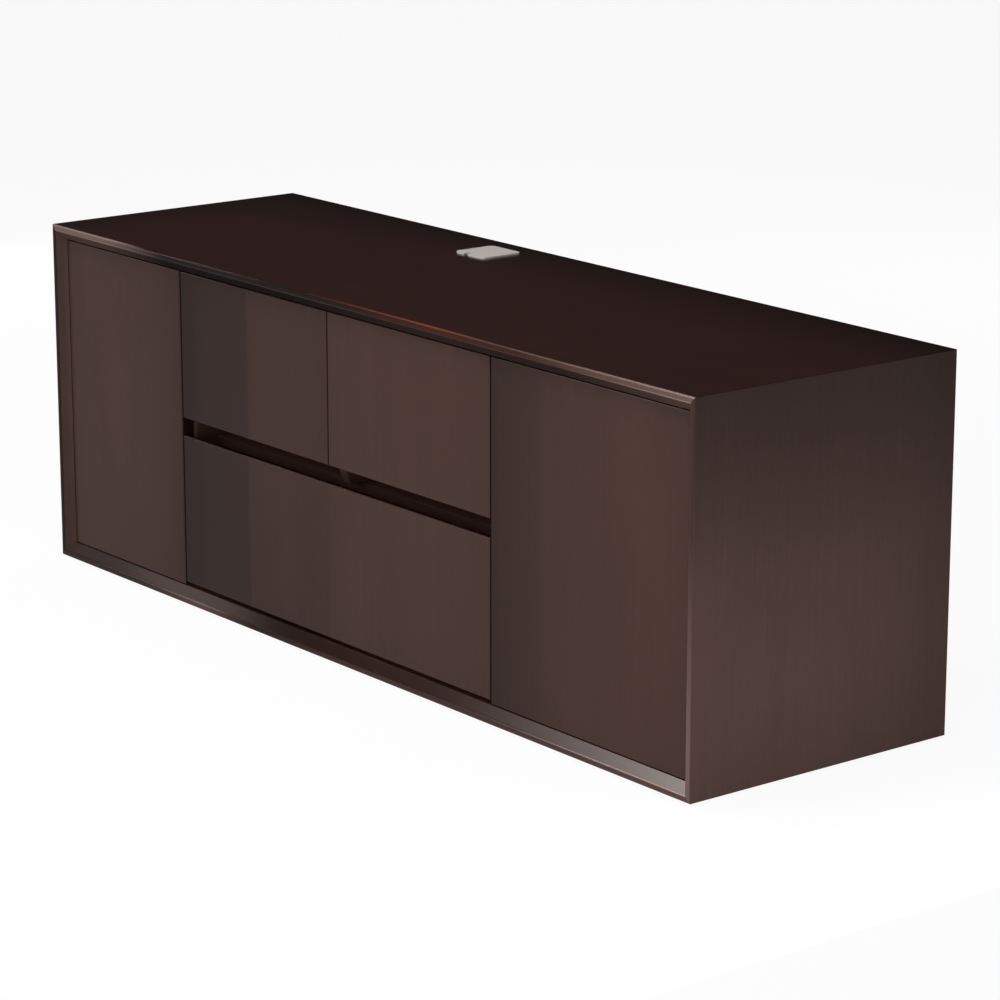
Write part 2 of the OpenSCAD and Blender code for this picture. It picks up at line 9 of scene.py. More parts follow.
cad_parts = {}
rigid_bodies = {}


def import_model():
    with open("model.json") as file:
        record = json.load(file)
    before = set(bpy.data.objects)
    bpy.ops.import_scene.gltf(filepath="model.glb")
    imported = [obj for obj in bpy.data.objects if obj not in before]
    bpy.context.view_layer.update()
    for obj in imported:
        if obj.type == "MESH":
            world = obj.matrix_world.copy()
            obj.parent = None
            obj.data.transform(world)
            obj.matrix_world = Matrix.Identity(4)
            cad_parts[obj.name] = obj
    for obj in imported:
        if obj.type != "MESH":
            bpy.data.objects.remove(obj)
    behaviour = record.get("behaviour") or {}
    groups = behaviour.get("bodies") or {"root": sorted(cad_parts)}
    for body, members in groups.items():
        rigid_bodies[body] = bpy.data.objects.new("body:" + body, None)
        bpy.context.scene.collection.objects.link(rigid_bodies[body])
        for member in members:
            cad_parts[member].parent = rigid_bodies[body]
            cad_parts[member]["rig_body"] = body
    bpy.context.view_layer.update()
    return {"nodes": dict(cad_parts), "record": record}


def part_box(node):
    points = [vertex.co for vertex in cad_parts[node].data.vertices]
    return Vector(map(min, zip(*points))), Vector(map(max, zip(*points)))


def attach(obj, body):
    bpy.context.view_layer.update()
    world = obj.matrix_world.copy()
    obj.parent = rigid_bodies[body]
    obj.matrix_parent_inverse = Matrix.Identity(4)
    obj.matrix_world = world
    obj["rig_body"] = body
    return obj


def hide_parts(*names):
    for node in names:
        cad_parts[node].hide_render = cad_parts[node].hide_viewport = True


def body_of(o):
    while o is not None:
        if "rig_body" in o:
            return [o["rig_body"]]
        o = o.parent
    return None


# Side desk: a low cabinet in dark veneer, lacquered, with two doors, three drawers and a cable grommet.
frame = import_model()
nodes = frame["nodes"]
mm = 0.001

# The camera stands to the front right and looks a little down.
camera = {
    "place": (4.5544, -3.5050, 1.7406),
    "turnDegrees": 51.88,
    "downDegrees": 14.66,
    "lens": 131.3,
    "sensor": 36.0,
    "farthest": 60.0,
}


def makeCamera(view):
    data = bpy.data.cameras.new("camera")
    data.lens = view["lens"]
    data.sensor_width = view["sensor"]
    data.clip_end = view["farthest"]
    stand = bpy.data.objects.new("camera", data)
    stand.location = view["place"]
    stand.rotation_euler = (math.radians(90 - view["downDegrees"]), 0, math.radians(view["turnDegrees"]))
    bpy.context.scene.collection.objects.link(stand)
    bpy.context.scene.camera = stand


makeCamera(camera)
bpy.context.scene.view_settings.view_transform = "Standard"
print("camera: lens", camera["lens"], "mm")


# Shapes

def camelName(node):
    words = node.split("_")
    return words[0] + "".join(word.capitalize() for word in words[1:])


def roundedOutline(corners, radii, steps=4):
    # Every corner becomes an arc that touches both its edges. Its centre lies inside the corner, on the
    # sum of the two edges' normals times radius / (1 + cos turn), and the normal turns evenly along it.
    corners = np.asarray(corners, float)
    radii = np.asarray(radii, float)[:, None, None]
    after = np.roll(corners, -1, axis=0) - corners
    after /= np.linalg.norm(after, axis=1, keepdims=True)
    before = np.roll(after, 1, axis=0)
    normalBefore = np.stack([before[:, 1], -before[:, 0]], 1)
    normalAfter = np.stack([after[:, 1], -after[:, 0]], 1)
    cross = before[:, 0] * after[:, 1] - before[:, 1] * after[:, 0]
    dot = (before * after).sum(1)
    side = np.where(cross < 0, -1.0, 1.0)[:, None, None]
    reach = ((normalBefore + normalAfter) / (1 + dot)[:, None])[:, None]
    angle = (np.arctan2(cross, dot)[:, None] * np.linspace(0, 1, steps + 1))[..., None]
    normals = np.cos(angle) * normalBefore[:, None] + np.sin(angle) * before[:, None]
    points = corners[:, None] + side * radii * (normals - reach)
    return points.reshape(-1, 2), normals.reshape(-1, 2)


def squareEnds(outline, normals, low, high, radius, steps=4):
    # The outline carried from low to high. Near each end it shrinks along a quarter circle:
    # station = end - radius + radius sin a, inset = radius - radius cos a.
    a = np.linspace(0, math.pi / 2, steps + 1)
    lean = np.concatenate([-np.sin(a[::-1]), np.sin(a)])
    station = np.concatenate([low + radius - radius * np.sin(a[::-1]), high - radius + radius * np.sin(a)])
    inset = radius * (1 - np.sqrt(1 - lean ** 2 + 1e-12))
    rows = outline[None] - normals[None] * inset[:, None, None]
    shape = rows.shape[:2]
    points = np.dstack([np.broadcast_to(station[:, None], shape), rows])
    flat = np.sqrt(np.clip(1 - lean ** 2, 0, 1))[:, None, None]
    across = np.dstack([np.broadcast_to(lean[:, None], shape), normals[None] * flat])
    return points, across


def mitredEnds(outline, normals, half, radius, steps=4):
    # The outline is (y, depth) with depth 0 on the outer face. Each point runs to the 45 degree plane
    # x = half + depth, and the outer corner is rounded: at x = half - radius + radius sin a the depth is
    # at most radius cos a - radius.
    a = np.linspace(0, math.pi / 4, steps + 1)
    lean = np.concatenate([-np.sin(a[::-1]), np.sin(a)])
    station = np.concatenate([-(half - radius + radius * np.sin(a[::-1])), half - radius + radius * np.sin(a)])
    cap = (radius * np.sqrt(1 - lean ** 2) - radius)[:, None]
    depth = np.minimum(outline[None, :, 1], cap)
    x = np.clip(station[:, None], -(half + outline[None, :, 1]), half + outline[None, :, 1])
    points = np.dstack([x, np.broadcast_to(outline[None, :, 0], x.shape), depth])
    capped = (outline[None, :, 1] > cap) | (outline[None, :, 1] >= 0)
    upward = np.where(capped, np.maximum(normals[None, :, 1], 0), 0)
    across = np.dstack([
        upward * lean[:, None],
        np.broadcast_to(normals[None, :, 0], x.shape),
        np.where(capped, normals[None, :, 1] * np.sqrt(1 - lean ** 2)[:, None], normals[None, :, 1]),
    ])
    return points, across / np.linalg.norm(across, axis=2, keepdims=True)


def gridFaces(points, normals, without=()):
    # Quads between neighbouring stations and neighbouring points of a closed outline
    def corners(grid):
        turned = np.roll(grid, -1, axis=1)
        return np.stack([grid[:-1], turned[:-1], turned[1:], grid[1:]], axis=2)
    keep = np.ones((points.shape[0] - 1, points.shape[1]), bool)
    for station, step in without:
        keep[station, step] = False
    return corners(points)[keep], corners(normals)[keep]


def flatFace(loop, normal, holes=()):
    # A plane face inside a loop of points, less the holes' loops, cut into triangles where it has holes
    loops = [np.asarray(loop)] + [np.asarray(hole) for hole in holes]
    if len(loops) == 1:
        faces = loops[0][None]
    else:
        every = np.concatenate(loops)
        triangles = geometry.tessellate_polygon([[Vector(p) for p in part] for part in loops])
        faces = every[np.array(triangles)]
    return faces, np.broadcast_to(np.asarray(normal, float), faces.shape)


def capFaces(points, holes=()):
    # Both ends of a carried outline. A hole is (end, loop) with end 0 or -1
    for end, towards in ((0, points[0] - points[-1]), (-1, points[-1] - points[0])):
        loop = points[end]
        area = np.cross(loop - loop[0], np.roll(loop, -1, axis=0) - loop[0]).sum(0)
        normal = area / np.linalg.norm(area)
        normal = normal if normal @ towards.mean(0) > 0 else -normal
        yield flatFace(loop, normal, [hole for which, hole in holes if which == end])


def blindHole(loop, direction, depth):
    # The wall and the floor of a hole, from its loop on the surface
    direction = np.asarray(direction, float)
    centre = loop.mean(0)
    inward = centre - loop
    inward /= np.linalg.norm(inward, axis=1, keepdims=True)
    yield gridFaces(np.stack([loop, loop + direction * depth]), np.stack([inward, inward]))
    yield flatFace(loop + direction * depth, -direction)


def placed(parts, axes=((1, 0, 0), (0, 1, 0), (0, 0, 1)), origin=(0, 0, 0)):
    # Turns local points and normals so that local x, y and z run along the three axes
    axes = np.asarray(axes, float)
    return [(points @ axes + origin, normals @ axes) for points, normals in parts]


def meshPiece(name, parts, material, body, stands=()):
    # Faces given as corner points with normals. Points equal to a tenth of a micron become one vertex, faces
    # that shrink to a line go, and a face whose winding disagrees with its normals is turned over.
    polygons = []
    normalRows = []
    for points, normals in parts:
        area = np.cross(points - points[:, :1], np.roll(points, -1, axis=1) - points[:, :1]).sum(1)
        wrong = (area * normals.mean(1)).sum(1) < 0
        points = np.where(wrong[:, None, None], points[:, ::-1], points)
        normals = np.where(wrong[:, None, None], normals[:, ::-1], normals)
        polygons.append(points)
        normalRows.append(normals)
    flat = np.concatenate([p.reshape(-1, 3) for p in polygons])
    _, first, index = np.unique(np.round(flat / 1e-7), axis=0, return_index=True, return_inverse=True)
    index = index.reshape(-1)
    loopVertices, loopNormals, sizes, start = [], [], [], 0
    for points, normals in zip(polygons, normalRows):
        count, corners = points.shape[:2]
        rows = index[start:start + count * corners].reshape(count, corners)
        start += count * corners
        fresh = rows != np.roll(rows, -1, axis=1)
        kept = fresh.sum(1)
        for size in np.unique(kept[kept > 2]):
            chosen = kept == size
            loopVertices.append(rows[chosen][fresh[chosen]])
            loopNormals.append(normals[chosen][fresh[chosen]])
            sizes.append(np.full(chosen.sum(), size))
    loopVertices = np.concatenate(loopVertices)
    loopNormals = np.concatenate(loopNormals)
    sizes = np.concatenate(sizes)
    mesh = bpy.data.meshes.new(name)
    mesh.vertices.add(len(first))
    mesh.vertices.foreach_set("co", flat[first].astype(np.float32).ravel())
    mesh.loops.add(len(loopVertices))
    mesh.loops.foreach_set("vertex_index", loopVertices.astype(np.int32))
    mesh.polygons.add(len(sizes))
    mesh.polygons.foreach_set("loop_start", np.concatenate([[0], np.cumsum(sizes)[:-1]]).astype(np.int32))
    mesh.polygons.foreach_set("use_smooth", np.ones(len(sizes), bool))
    mesh.update(calc_edges=True)
    loopNormals /= np.linalg.norm(loopNormals, axis=1, keepdims=True)
    mesh.normals_split_custom_set(loopNormals.astype(np.float32))
    mesh.materials.append(material)
    piece = bpy.data.objects.new(name, mesh)
    bpy.context.scene.collection.objects.link(piece)
    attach(piece, body)
    if stands:
        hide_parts(*stands)
    return piece


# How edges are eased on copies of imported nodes
easing = {
    "sameVertex": 0.001,     # mm, below which two corners are one
    "flatAngle": 0.5,        # degrees, below which two faces are one
    "edgeAngle": 35,         # degrees, above which an edge is eased
    "segments": 2,
}


def eased(node, name, width):
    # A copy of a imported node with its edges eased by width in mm, as sandpaper or a mould leaves them
    mesh = nodes[node].data.copy()
    shape = bmesh.new()
    shape.from_mesh(mesh)
    bmesh.ops.remove_doubles(shape, verts=shape.verts, dist=easing["sameVertex"] * mm)
    bmesh.ops.dissolve_limit(shape, angle_limit=math.radians(easing["flatAngle"]), verts=shape.verts,
                             edges=shape.edges)
    shape.to_mesh(mesh)
    shape.free()
    mesh.shade_smooth()
    rough = bpy.data.objects.new(name, mesh)
    bpy.context.scene.collection.objects.link(rough)
    bevel = rough.modifiers.new("ease", "BEVEL")
    bevel.width = width * mm
    bevel.segments = easing["segments"]
    bevel.limit_method = "ANGLE"
    bevel.angle_limit = math.radians(easing["edgeAngle"])
    bevel.miter_outer = "MITER_ARC"
    # the large faces keep their own normals, so that they stay flat
    weighted = rough.modifiers.new("weighted", "WEIGHTED_NORMAL")
    weighted.weight = 100
    worked = bpy.data.meshes.new_from_object(rough.evaluated_get(bpy.context.evaluated_depsgraph_get()))
    rough.modifiers.clear()
    rough.data = worked
    worked.name = name
    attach(rough, body_of(nodes[node])[0])
    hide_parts(node)
    return rough


# Materials

def linear(hexColour):
    # sRGB to linear: c / 12.92 below 0.04045, else ((c + 0.055) / 1.055) to the power 2.4
    c = np.array([int(hexColour[i:i + 2], 16) for i in (0, 2, 4)]) / 255
    c = np.where(c <= 0.04045, c / 12.92, ((c + 0.055) / 1.055) ** 2.4)
    return (float(c[0]), float(c[1]), float(c[2]), 1.0)


def addNode(tree, kind, settings=None, links=None):
    # Adds a node, sets its sockets or properties, and links sources into its sockets
    node = tree.nodes.new(kind)
    for name, value in (settings or {}).items():
        if isinstance(name, str) and name not in node.inputs:
            setattr(node, name, value)
        else:
            node.inputs[name].default_value = value
    for name, source in (links or {}).items():
        tree.links.new(source, node.inputs[name])
    return node


def newMaterial(name):
    material = bpy.data.materials.new(name)
    material.use_nodes = True
    tree = material.node_tree
    tree.nodes.clear()
    return material, tree


def finishMaterial(tree, shader):
    addNode(tree, "ShaderNodeOutputMaterial", links={"Surface": shader.outputs[0]})


# Stained open-pored veneer under a satin lacquer. Straight grain shows as faint long streaks, the pores
# are filled, and the lacquer gives a clear, slightly soft reflection.
veneer = {
    "streakWide": 7.0,      # mm
    "streakLong": 420.0,
    "poreWide": 1.6,        # real pores are 0.3 mm wide and would not show
    "poreLong": 38.0,
    "cloudWide": 150.0,
    "cloudLong": 450.0,
    "streakDepth": 0.6,
    "poreDepth": 0.9,
    "cloudDepth": 0.9,
    "contrast": 0.2,
    "ior": 1.37,            # a thin satin lacquer reflects less than a thick polished one
    "roughness": 0.13,
    "poreHeight": 0.01,
}


def rampAlong(tree, spot, axis, stops, tint=(1.0, 1.0, 1.0)):
    # A colour that changes along one axis: stops are (place in mm, an edge shade or a share of the tint)
    first, last = stops[0][0], stops[-1][0]
    place = addNode(tree, "ShaderNodeSeparateXYZ", links={"Vector": spot}).outputs[axis]
    share = addNode(tree, "ShaderNodeMapRange", {"From Min": first * mm, "From Max": last * mm},
                    {"Value": place})
    steps = addNode(tree, "ShaderNodeValToRGB", links={"Fac": share.outputs["Result"]})
    elements = steps.color_ramp.elements
    while len(elements) < len(stops):
        elements.new(0.5)
    for element, (x, tone) in zip(elements, stops):
        element.position = (x - first) / (last - first)
        named = isinstance(tone, str)
        element.color = linear(paintedEdgeShades[tone]) if named else [tone * part for part in tint] + [1.0]
    return steps.outputs["Color"]


def mixColours(tree, first, second, share=1.0, kind="MIX"):
    settings = {"data_type": "RGBA", "blend_type": kind}
    if isinstance(share, float):
        settings["Factor"] = share
    mixed = addNode(tree, "ShaderNodeMix", settings, {} if isinstance(share, float) else {"Factor": share})
    tree.links.new(first, mixed.inputs["A"])
    tree.links.new(second, mixed.inputs["B"])
    return mixed.outputs["Result"]


# Which way a face of the frame points, read from its normal: forwards is its y, and the slant is y times z,
# which is sin a cos a where it leans by a. The shade is full at the second number of each pair.
edgeReach = {
    "band": (-0.76, -0.9),       # of y
    "arris": (-0.1, -0.35),      # of the slant, between the front and the outer face
    "lineIn": (0.15, 0.28),      # of the slant, between band and chamfer: it comes from 9 to 17 degrees
    "lineOut": (0.4995, 0.485),  # and goes from 38 to 44, before the chamfer's own 45
}


def addEdgeBand(tree, coordinates, base, edge):
    # The band covers what faces forwards, the arris what lies between front and top, and the line the arris
    # between band and chamfer, painted lighter as a highlight. All three paint reflections and highlights into
    # the colour.
    toward = addNode(tree, "ShaderNodeSeparateXYZ", links={"Vector": coordinates.outputs["Normal"]})

    def between(source, first, last):
        # 0 at the first number, 1 at the last
        share = addNode(tree, "ShaderNodeMapRange", {"From Min": first, "From Max": last}, {"Value": source})
        return share.outputs["Result"]

    def covered(under, stops, share):
        shades = rampAlong(tree, coordinates.outputs["Object"], edge["axis"], stops)
        return mixColours(tree, under, shades, share)

    base = covered(base, edge["band"], between(toward.outputs["Y"], *edgeReach["band"]))
    slant = addNode(tree, "ShaderNodeMath", {"operation": "MULTIPLY"},
                    {0: toward.outputs["Y"], 1: toward.outputs["Z"]}).outputs[0]
    if "arris" in edge:
        base = covered(base, edge["arris"], between(slant, *edgeReach["arris"]))
    if "line" in edge:
        rise, fall = [between(slant, *[edge["lineSide"] * limit for limit in edgeReach[name]])
                      for name in ("lineIn", "lineOut")]
        paintedHighlight = addNode(tree, "ShaderNodeMath", {"operation": "MULTIPLY"}, {0: rise, 1: fall})
        base = covered(base, edge["line"], paintedHighlight.outputs[0])
    return base


def veneerMaterial(name, grain, stain, tones=(), edge=None, roughness=None, ior=None,
                   sheen=(1.0, 1.0, 1.0, 1.0)):
    material, tree = newMaterial(name)
    coordinates = addNode(tree, "ShaderNodeTexCoord")
    spot = coordinates.outputs["Object"]

    def grainNoise(wide, long, detail):
        # Noise stretched along the grain: one period is wide mm across and long mm along
        size = [1 / (wide * mm)] * 3
        size[grain] = 1 / (long * mm)
        stretched = addNode(tree, "ShaderNodeMapping", {"Scale": size}, {"Vector": spot})
        noise = addNode(tree, "ShaderNodeTexNoise", {"Scale": 1.0, "Detail": detail, "Roughness": 0.6},
                        {"Vector": stretched.outputs["Vector"]})
        return noise.outputs["Fac"]

    def weighted(source, share, under):
        # share x (source - 0.5), laid over what is under it, or over an even 0.5
        centred = addNode(tree, "ShaderNodeMath", {"operation": "SUBTRACT", 1: 0.5}, {0: source})
        return addNode(tree, "ShaderNodeMath", {"operation": "MULTIPLY_ADD", 1: share, 2: 0.5},
                       {0: centred.outputs[0], 2: under} if under else {0: centred.outputs[0]}).outputs[0]

    pores = grainNoise(veneer["poreWide"], veneer["poreLong"], 2.0)
    tone = weighted(pores, veneer["poreDepth"], None)
    tone = weighted(grainNoise(veneer["streakWide"], veneer["streakLong"], 4.0), veneer["streakDepth"], tone)
    tone = weighted(grainNoise(veneer["cloudWide"], veneer["cloudLong"], 1.0), veneer["cloudDepth"], tone)
    colour = addNode(tree, "ShaderNodeValToRGB", links={"Fac": tone})
    for element, share in zip(colour.color_ramp.elements, (1 - veneer["contrast"], 1 + veneer["contrast"])):
        element.color = [part * share for part in linear(stain)[:3]] + [1.0]
    base = colour.outputs["Color"]
    for axis, stops in tones:
        base = mixColours(tree, base, rampAlong(tree, spot, axis, stops), kind="MULTIPLY")
    if edge:
        base = addEdgeBand(tree, coordinates, base, edge)
    shader = addNode(tree, "ShaderNodeBsdfPrincipled",
                     {"Roughness": roughness or veneer["roughness"], "IOR": ior or veneer["ior"],
                      "Specular Tint": sheen}, {"Base Color": base})
    height = addNode(tree, "ShaderNodeBump", {"Strength": 0.3, "Distance": veneer["poreHeight"] * mm},
                     {"Height": pores})
    tree.links.new(height.outputs["Normal"], shader.inputs["Normal"])
    finishMaterial(tree, shader)
    return material


xAxis, yAxis, zAxis = 0, 1, 2
# The veneer leaves on the fronts, from left to right: place (mm) and how light it is there. Partly the leaves'
# own tone and partly painted shade: the dark bands that start at the seams near -473 and 370 and run to -275
# and 490 stand in for shade and reflection.
frontLeavesAndPaintedShade = [
    (-850, 0.88), (-760, 0.96), (-583, 0.92), (-474, 0.7),
    (-472.5, 0.32), (-400, 0.49), (-276, 0.52),
    (-274, 0.7), (-52, 0.8),
    (-48, 0.93), (205, 1.0), (369, 0.93),
    (371, 0.47), (490, 0.76),
    (494, 0.86), (700, 1.02), (850, 0.95),
]
# The few shades painted on the frame's edges as their reflections, highlights and shade, from the palest to the
# deepest
paintedEdgeShades = {
    "paintedHighlight": "8c7268",
    "pale": "78655f",
    "dusty": "66534d",
    "rose": "523b38",
    "copper": "633423",
    "bark": "3d2825",
    "chestnut": "37180f",
    "umber": "2c1a15",
    "soot": "1c0e0a",
    "black": "110909",
}
# Broad zones of these painted reflections, highlights and shade along each edge: place, to the nearest 50 mm,
# and shade. The line lies on a slope that looks down, 1, or up, -1
edgeBands = {
    "top": {
        "axis": xAxis,
        "band": [(-700, "dusty"), (-500, "black"), (0, "black"), (250, "chestnut"), (450, "chestnut"),
                 (850, "dusty")],
        "arris": [(-650, "pale"), (-550, "black"), (-150, "black"), (250, "copper"), (400, "umber"),
                  (550, "umber"), (850, "dusty")],
        "line": [(-650, "pale"), (-500, "black"), (250, "chestnut"), (550, "bark"), (800, "paintedHighlight")],
        "lineSide": 1.0,
    },
    "bottom": {
        "axis": xAxis,
        "band": [(-600, "umber"), (-400, "rose"), (-250, "soot"), (50, "bark"), (300, "bark"), (850, "rose")],
        "line": [(-550, "umber"), (-400, "dusty"), (-300, "umber"), (450, "umber"), (650, "pale"),
                 (850, "paintedHighlight")],
        "lineSide": -1.0,
    },
    "right": {"axis": zAxis, "band": [(100, "dusty"), (400, "bark"), (600, "bark")]},
    "left": {"axis": zAxis, "band": [(0, "soot"), (600, "soot")]},
}
# Painted shade on the boards: place (mm) and how light it is there. The top darkens towards its far edges, and
# the right side towards its upper rear corner
topPaintedShade = [(yAxis, [(60, 0.98), (180, 0.73), (253, 0.35), (255, 1.2)]),
            (xAxis, [(-850, 0.62), (-700, 0.96), (850, 1.0)])]
sidePaintedShade = [(zAxis, [(60, 0.94), (180, 1.0), (330, 1.0), (530, 0.73), (600, 0.68)]),
             (yAxis, [(-255, 0.97), (60, 1.0), (160, 0.97), (255, 0.82)])]
# Painted shade on the top's sealed chamfer: pale at its ends and deep left of the middle
undersidePaintedShade = [(xAxis, [(-700, 1.1), (-500, 0.1), (-150, 0.1), (250, 0.4), (550, 0.35), (850, 1.3)])]
# The left side's chamfer is in the shade of the corner
leftTones = [(xAxis, [(-850, 1.0), (-841, 1.0), (-840, 0.76), (-832, 0.84), (-825, 1.0)])]
# Painted shade in zones along the bottom's chamfer, and painted light on the board in the gap under the fronts,
# where it lies in shade
bottomPaintedLightAndShade = [(yAxis, [(-255, 1.0), (-241, 1.0), (-239, 2.6), (-222, 2.4), (-205, 1.0)]),
               (xAxis, [(-850, 0.95), (-650, 0.6), (-500, 1.0), (-350, 1.0), (-200, 0.5), (100, 0.9),
                        (850, 1.0)])]
# The partitions catch light only near their front
partitionTones = [(yAxis, [(-222, 1.1), (-217.3, 1.1), (-216.8, 2.3), (-165, 2.0), (-130, 1.0)])]
# The shelf behind the finger gap, with painted light where it lies in shade: a dark band on its front edge,
# lighter below, and a lighter top
shelfPaintedLight = [(yAxis, [(-182, 1.0), (-179.6, 1.0), (-179, 3.6), (-130, 3.6), (-60, 2.0), (0, 1.0)]),
              (zAxis, [(269, 2.9), (275, 2.4), (287, 1.4)])]
warmSheen = (1.0, 0.62, 0.52, 1.0)
# The top's stain is darker than the fronts': painted shade, as if less light fell on the top
veneerTop = veneerMaterial("veneerSatinLacquerTop", xAxis, "311b18", tones=topPaintedShade, edge=edgeBands["top"],
                           sheen=(1.0, 0.72, 0.62, 1.0))
undersideVeneer = veneerMaterial("veneerSealedUndersidePaintedShade", xAxis, "4a3731", tones=undersidePaintedShade,
                                 roughness=0.6, ior=1.2, sheen=warmSheen)
veneerBottom = veneerMaterial("veneerSatinLacquerBottom", xAxis, "2c1b16", tones=bottomPaintedLightAndShade,
                              edge=edgeBands["bottom"])
veneerRight = veneerMaterial("veneerSatinLacquerRight", zAxis, "4b3732", tones=sidePaintedShade,
                             edge=edgeBands["right"])
veneerLeft = veneerMaterial("veneerSatinLacquerLeft", zAxis, "46322d", tones=leftTones,
                            edge=edgeBands["left"])
veneerFrame = veneerMaterial("veneerSatinLacquerFrame", zAxis, "422d27")
veneerFront = veneerMaterial("veneerSatinLacquerFront", zAxis, "432e28", tones=[(xAxis, frontLeavesAndPaintedShade)])
veneerInside = veneerMaterial("veneerMattLacquerInside", zAxis, "3f2a22", roughness=0.42)
veneerPartition = veneerMaterial("veneerMattLacquerPartition", zAxis, "3f2a22", tones=partitionTones,
                                 roughness=0.42)
# The shelf's dark stain is painted shade for the inside of the finger gap
veneerShelf = veneerMaterial("veneerShelfPaintedShadeAndLight", xAxis, "231511", tones=shelfPaintedLight, roughness=0.55,
                             ior=1.25, sheen=warmSheen)
print("materials: veneers")


def plainMaterial(name, colour, other, metallic, roughness, grainSize, height, ior=None, transmission=0.0):
    # A fine even surface: its tone and roughness vary a little at the size of its grain, in mm
    material, tree = newMaterial(name)
    spot = addNode(tree, "ShaderNodeTexCoord").outputs["Object"]
    noise = addNode(tree, "ShaderNodeTexNoise", {"Scale": 1 / (grainSize * mm), "Detail": 3.0},
                    {"Vector": spot})
    tint = addNode(tree, "ShaderNodeValToRGB", links={"Fac": noise.outputs["Fac"]})
    tint.color_ramp.elements[0].color = linear(colour)
    tint.color_ramp.elements[1].color = linear(other)
    tint.color_ramp.elements[0].position = 0.3
    tint.color_ramp.elements[1].position = 0.7
    settings = {"Metallic": metallic, "Transmission Weight": transmission}
    if ior:
        settings["IOR"] = ior
    shader = addNode(tree, "ShaderNodeBsdfPrincipled", settings, {"Base Color": tint.outputs["Color"]})
    rough = addNode(tree, "ShaderNodeMapRange", {"To Min": roughness * 0.85, "To Max": roughness * 1.15},
                    {"Value": noise.outputs["Fac"]})
    tree.links.new(rough.outputs["Result"], shader.inputs["Roughness"])
    bump = addNode(tree, "ShaderNodeBump", {"Strength": 0.4, "Distance": height * mm},
                   {"Height": noise.outputs["Fac"]})
    tree.links.new(bump.outputs["Normal"], shader.inputs["Normal"])
    finishMaterial(tree, shader)
    return material


# Birch plywood under a matt lacquer: pale flowing grain on its faces, thin stripes of plies on its edges
plywood = {
    "face": ("b88f62", "d9b98a"),
    "plies": ("8e6a44", "d6b98e"),
    "plyThick": 1.33,
    "grainWide": 9.0,
    "grainLong": 160.0,
}


def plywoodMaterial(name, thin, grain, edge):
    # thin is the axis across the board, and edge the coordinate where its plies start
    material, tree = newMaterial(name)
    coordinates = addNode(tree, "ShaderNodeTexCoord")
    spot = coordinates.outputs["Object"]
    size = [1 / (plywood["grainWide"] * mm)] * 3
    size[grain] = 1 / (plywood["grainLong"] * mm)
    stretched = addNode(tree, "ShaderNodeMapping", {"Scale": size}, {"Vector": spot})
    figure = addNode(tree, "ShaderNodeTexNoise", {"Scale": 1.0, "Detail": 5.0, "Distortion": 0.8},
                     {"Vector": stretched.outputs["Vector"]})
    face = addNode(tree, "ShaderNodeValToRGB", links={"Fac": figure.outputs["Fac"]})
    face.color_ramp.elements[0].color = linear(plywood["face"][0])
    face.color_ramp.elements[1].color = linear(plywood["face"][1])
    face.color_ramp.elements[0].position = 0.25
    face.color_ramp.elements[1].position = 0.75
    through = addNode(tree, "ShaderNodeSeparateXYZ", links={"Vector": spot}).outputs[thin]
    phase = addNode(tree, "ShaderNodeMath",
                    {"operation": "MULTIPLY_ADD", 1: 1 / (2 * plywood["plyThick"] * mm),
                     2: -edge / (2 * plywood["plyThick"] * mm)}, {0: through})
    part = addNode(tree, "ShaderNodeMath", {"operation": "FRACT"}, {0: phase.outputs[0]})
    plies = addNode(tree, "ShaderNodeValToRGB", links={"Fac": part.outputs[0]})
    plies.color_ramp.elements[0].color = linear(plywood["plies"][1])
    plies.color_ramp.elements[1].color = linear(plywood["plies"][0])
    plies.color_ramp.elements[0].position = 0.47
    plies.color_ramp.elements[1].position = 0.53
    toward = addNode(tree, "ShaderNodeSeparateXYZ", links={"Vector": coordinates.outputs["Normal"]})
    onFace = addNode(tree, "ShaderNodeMath", {"operation": "ABSOLUTE"}, {0: toward.outputs[thin]})
    onFace = addNode(tree, "ShaderNodeMath", {"operation": "GREATER_THAN", 1: 0.6}, {0: onFace.outputs[0]})
    colour = mixColours(tree, plies.outputs["Color"], face.outputs["Color"], onFace.outputs[0])
    shader = addNode(tree, "ShaderNodeBsdfPrincipled", {"Roughness": 0.42, "IOR": 1.45}, {"Base Color": colour})
    bump = addNode(tree, "ShaderNodeBump", {"Strength": 0.25, "Distance": 0.03 * mm},
                   {"Height": figure.outputs["Fac"]})
    tree.links.new(bump.outputs["Normal"], shader.inputs["Normal"])
    finishMaterial(tree, shader)
    return material


# Zinc plating is dull and cloudy, so part of the light it sends back is scattered
zincSteel = plainMaterial("zincPlatedColdRolledSteel", "a9adb3", "c2c5c9", 0.7, 0.42, 3.0, 0.004)
ballSteel = plainMaterial("polishedBearingSteel", "b9bcc2", "cfd1d5", 0.9, 0.22, 4.0, 0.002)
nickelSteel = plainMaterial("nickelPlatedSteel", "aaa69b", "bfbbb0", 1.0, 0.34, 3.0, 0.003)
